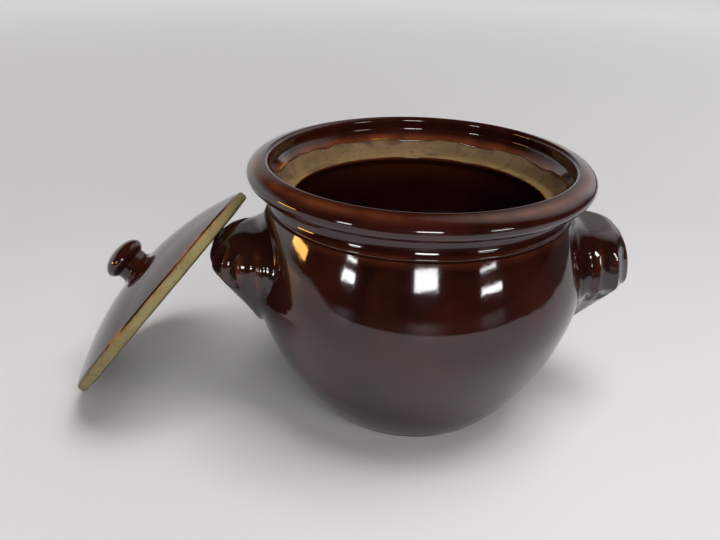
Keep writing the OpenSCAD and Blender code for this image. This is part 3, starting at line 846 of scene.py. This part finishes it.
floor_pale, beyond_table = (0.60, 0.59, 0.60), (0.02, 0.014, 0.012)
table_front, table_skew, table_right = -0.44, 0.28, 0.60
floor_reach, far_glow, glow_reach = 6, 0.42, 4.0


def table_top():
    """A pale floor that keeps its tone far from the lamps. Mirrors see it only as far as the
    front and right edges of the table."""
    shell = bpy.data.meshes.new("table_top")
    corners = [(x * floor_reach, y * floor_reach, 0)
               for x, y in ((-1, -1), (1, -1), (1, 1), (-1, 1))]
    shell.from_pydata(corners, [], [(0, 1, 2, 3)])
    material, tree, shader = painted("table_white", Roughness=0.55)
    place = node(tree, "ShaderNodeTexCoord").outputs["Object"]
    x, y = node(tree, "ShaderNodeSeparateXYZ", {0: place}).outputs[:2]
    line = sum_of(tree, "ADD", sum_of(tree, "MULTIPLY", x, table_skew), table_front)
    off = sum_of(tree, "MAXIMUM", sum_of(tree, "LESS_THAN", y, line),
                 sum_of(tree, "GREATER_THAN", x, table_right))
    mirrored = node(tree, "ShaderNodeLightPath").outputs["Is Glossy Ray"]
    tree.links.new(mixed(tree, sum_of(tree, "MULTIPLY", off, mirrored), floor_pale, beyond_table),
                   shader.inputs["Base Color"])
    away = sum_of(tree, "DIVIDE", reach_and_height(tree, place)[0], glow_reach)
    far = ramp(tree, away, (0.11, 0.0), (0.5, far_glow))
    in_mirror = sum_of(tree, "MULTIPLY", mirrored, sum_of(tree, "SUBTRACT", 1.0, off))
    seen = node(tree, "ShaderNodeLightPath").outputs["Is Camera Ray"]
    seen = sum_of(tree, "MAXIMUM", seen, in_mirror)
    tree.links.new(sum_of(tree, "MULTIPLY", far, seen), shader.inputs["Emission Strength"])
    shader.inputs["Emission Color"].default_value = (1, 1, 1, 1)
    table = bpy.data.objects.new("table_top", shell)
    shell.materials.append(material)
    bpy.context.collection.objects.link(table)
    return table


table_top()

room = bpy.data.worlds.new("room")
bpy.context.scene.world = room
room.use_nodes = True
tree = room.node_tree
way = node(tree, "ShaderNodeTexCoord").outputs["Generated"]


def facing(toward, start, end):
    """0 to 1 for the parts of the room that lie more and more in a direction."""
    share = node(tree, "ShaderNodeVectorMath", {0: way, 1: toward}, operation="DOT_PRODUCT")
    return node(tree, "ShaderNodeMapRange", {"Value": share.outputs["Value"], "From Min": start,
                                             "From Max": end}).outputs[0]


room_dark, room_light = (0.010, 0.006, 0.005), (1.0, 0.985, 0.99)
backdrop = (0.655, 0.655, 0.66)
wall_light = sum_of(tree, "MULTIPLY", facing((-0.34, 0.94, 0), 0.3, 0.5),
                    facing((0, 0, -1), -0.5, -0.2))
high_light = facing((0.6, 0.45, 0.66), 0.78, 0.98)
light = sum_of(tree, "ADD", sum_of(tree, "MULTIPLY", wall_light, 0.75),
               sum_of(tree, "MULTIPLY", high_light, 0.85))
around = mixed(tree, light, room_dark, room_light)
seen = node(tree, "ShaderNodeLightPath").outputs["Is Camera Ray"]
shown = mixed(tree, seen, around, backdrop)
tree.links.new(shown, tree.nodes["Background"].inputs["Color"])


def lamp(name, place, aim, size, power, colour=(1, 1, 1), mirrored=True):
    """A flat lamp that shines from a place towards an aim. Glaze shows it only if mirrored."""
    light = bpy.data.lights.new(name, "AREA")
    light.shape, light.size, light.size_y = "RECTANGLE", size[0], size[1]
    light.energy, light.color = power, colour
    made = bpy.data.objects.new(name, light)
    made.location = place
    made.rotation_euler = (Vector(aim) - Vector(place)).to_track_quat("-Z", "Y").to_euler()
    made.visible_camera = False
    made.visible_glossy = mirrored
    bpy.context.collection.objects.link(made)


window_away, pot_middle = 2, Vector((0, 0, 0.1))


def window(name, azimuth, elevation, size, power, colour=(1, 1, 1)):
    """A window of the dark room, its azimuth counted from the front of the table."""
    a, e = radians(azimuth), radians(elevation)
    spot = Vector((sin(a) * cos(e), -cos(a) * cos(e), sin(e))) * window_away + pot_middle
    lamp(name, spot, pot_middle, size, power, colour)


lamp("ceiling_panel", (0.35, -0.2, 1.8), (0, 0, 0), (1.0, 1.0), 29, mirrored=False)
lamp("front_panel", (0.4, -1.5, 1.1), (0, 0, 0), (1.2, 0.9), 16, mirrored=False)
window("front_window", 8, 12, (0.50, 0.28), 8.0)
window("left_window", -43, 7.6, (0.30, 0.12), 2.6)
window("left_skylight", -43, 13.9, (0.26, 0.05), 0.9)
window("right_window", 51, 4.5, (0.48, 0.08), 2.4)
window("right_skylight", 50, 11.6, (0.40, 0.04), 0.8)
window("warm_lamp", -86, 4.5, (0.55, 0.13), 4.0, (1.0, 0.5, 0.12))

lens, sensor = 40, 36
camera_place = Vector((0, -0.445035, 0.291972))
camera_right = Vector((0.99608948, 0.085547, 0.02207853))
camera_up = Vector((-0.05648481, 0.42446863, 0.90367906))
camera_back = Vector((0.06793539, -0.90139231, 0.42764084))
camera = bpy.data.objects.new("camera", bpy.data.cameras.new("camera"))
camera.data.lens, camera.data.sensor_width = lens, sensor
camera.data.clip_start, camera.data.clip_end = 0.01, 20
turned = Matrix((camera_right, camera_up, camera_back)).transposed().to_4x4()
camera.matrix_world = Matrix.Translation(camera_place) @ turned
bpy.context.collection.objects.link(camera)
bpy.context.scene.camera = camera
bpy.context.scene.view_settings.view_transform = "Standard"
